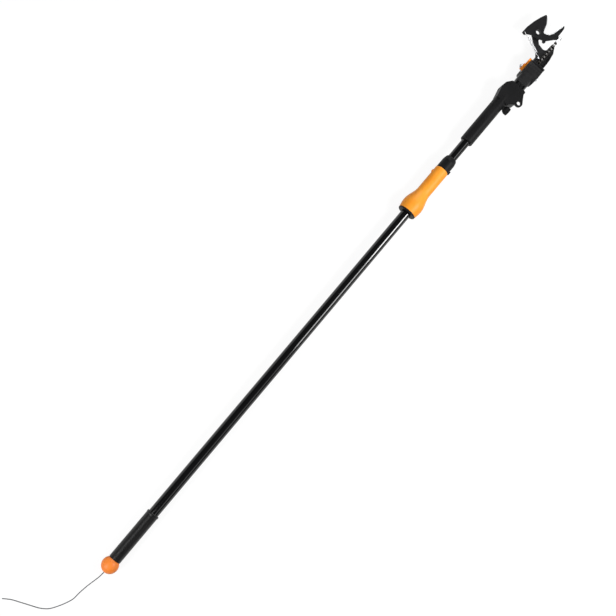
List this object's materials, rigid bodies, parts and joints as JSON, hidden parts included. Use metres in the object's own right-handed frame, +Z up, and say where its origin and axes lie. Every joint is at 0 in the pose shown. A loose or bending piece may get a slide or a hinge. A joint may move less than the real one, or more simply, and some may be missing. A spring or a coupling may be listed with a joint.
{
  "type": "tree pruner pole",
  "caption": "Telescopic tree pruner pole with sliding pull handle, pull ball and cord, swivelling drum head and a chain-driven hooked bypass cutter.",
  "frame": {"origin": "middle of the object's box on the floor, the loose cord left out", "axes": "+X along the pole to the cutter, +Y across the pole along the swivel drum's axis to the lever's side, +Z up from the floor that the pole lies on"},
  "size_m": [2.5688, 0.2459, 0.0799],
  "materials": {
    "orange_plastic": "moulded nylon, satin",
    "black_plastic": "moulded glass-filled nylon, matt",
    "black_tube": "black anodised, gloss",
    "black_coated_steel": "non-stick coat, matt",
    "black_cast_alloy": "die cast, black powder coat",
    "bright_steel": "ground",
    "zinc_steel": "zinc plated",
    "chain_steel": "oiled",
    "black_strap": "woven polyamide tape",
    "grey_cord": "braided polyester",
    "grip_rubber": "soft grip, matt"
  },
  "bodies": {
    "pole": {"lower_tube": "black_tube", "grip_sleeve": "grip_rubber", "end_plug": "black_plastic", "lock_seat": "black_plastic"},
    "ball": {"pull_ball": "orange_plastic", "cord": "grey_cord"},
    "handle": {"pull_handle": "orange_plastic", "handle_rim": "black_plastic", "strap_shoe": "zinc_steel"},
    "button": {"strap_button": "orange_plastic"},
    "collar": {"lock_collar": "black_plastic"},
    "upper": {"upper_tube": "black_tube", "tube_foot": "black_plastic", "adapter_sleeve": "black_plastic", "head_tube": "black_tube", "tube_rivets": "black_coated_steel", "swivel_base": "black_cast_alloy", "guide_post": "black_coated_steel", "swivel_cap": "black_cast_alloy", "cap_screw": "black_coated_steel", "swivel_bolt": "zinc_steel", "swivel_washer": "zinc_steel", "swivel_nut": "zinc_steel", "chain_guide": "black_plastic"},
    "knob": {"clamp_knob": "black_plastic", "clamp_bolt": "zinc_steel"},
    "lever": {"cam_lever": "orange_plastic"},
    "strap": {"strap": "black_strap", "strap_tie": "zinc_steel", "strap_clip": "zinc_steel"},
    "head": {"head_bracket": "black_cast_alloy", "spring_post": "zinc_steel", "counter_jaw": "black_coated_steel", "jaw_rivets": "bright_steel", "pivot_bush": "black_coated_steel", "pivot_ring": "zinc_steel", "return_spring": "zinc_steel", "chain_tail": "chain_steel"},
    "blade": {"cutting_blade": "black_coated_steel"},
    "chain": {"end_link": "zinc_steel", "link_pins": "zinc_steel", "chain_block": "chain_steel", "chain_plates": "chain_steel", "chain_rollers": "zinc_steel", "chain_pins": "chain_steel"}
  },
  "joints": [
    {"name": "telescope", "type": "slide", "parent": "pole", "child": "upper", "axis": [0.9999, 0, 0.0119], "range_m": [0, 1.33]},
    {"name": "collar_twist", "type": "hinge", "parent": "pole", "child": "collar", "pos_m": [0.4891, -0.01395, 0.04626], "axis": [0.9999, 0, 0.0119], "range_deg": [0, 90]},
    {"name": "handle_pull", "type": "slide", "parent": "pole", "child": "handle", "axis": [-0.9999, 0, -0.0119], "range_m": [0, 0.0708], "stiffness_N_per_m": 220, "springref_m": -0.02, "deforming": ["return_spring", "chain_tail"]},
    {"name": "ball_pull", "type": "slide", "parent": "pole", "child": "ball", "axis": [-0.9999, 0, -0.0119], "range_m": [0, 0.07102]},
    {"name": "strap_run", "type": "slide", "parent": "upper", "child": "strap", "axis": [-0.9999, 0, -0.0119], "range_m": [0, 0.07102]},
    {"name": "head_swivel", "type": "hinge", "parent": "upper", "child": "head", "pos_m": [0.95624, -0.01395, 0.037], "axis": [0, 1, 0], "range_deg": [0, 115]},
    {"name": "blade_swing", "type": "hinge", "parent": "head", "child": "blade", "pos_m": [1.07805, 0.03805, 0.05325], "axis": [-0.0119, 0, 0.9999], "range_deg": [-54.2, 0]},
    {"name": "chain_follow", "type": "hinge", "parent": "blade", "child": "chain", "pos_m": [1.11346, -0.03145, 0.05367], "axis": [-0.0119, 0, 0.9999], "range_deg": [0, 54.2]},
    {"name": "lever_turn", "type": "hinge", "parent": "upper", "child": "lever", "pos_m": [0.95624, -0.01395, 0.037], "axis": [0, 1, 0], "range_deg": [-80, 0]},
    {"name": "knob_turn", "type": "hinge", "parent": "upper", "child": "knob", "pos_m": [0.79307, -0.03895, 0.04986], "axis": [0, 1, 0], "range_deg": [-360, 360]},
    {"name": "button_press", "type": "slide", "parent": "handle", "child": "button", "axis": [0, -1, 0], "range_m": [0, 0.002], "stiffness_N_per_m": 600}
  ],
  "couplings": [
    {"joint": "ball_pull", "follows": "handle_pull", "ratio": 1},
    {"joint": "strap_run", "follows": "handle_pull", "ratio": 1},
    {"joint": "blade_swing", "follows": "handle_pull", "rad_per_m": -13.308},
    {"joint": "chain_follow", "follows": "handle_pull", "rad_per_m": 13.308}
  ]
}
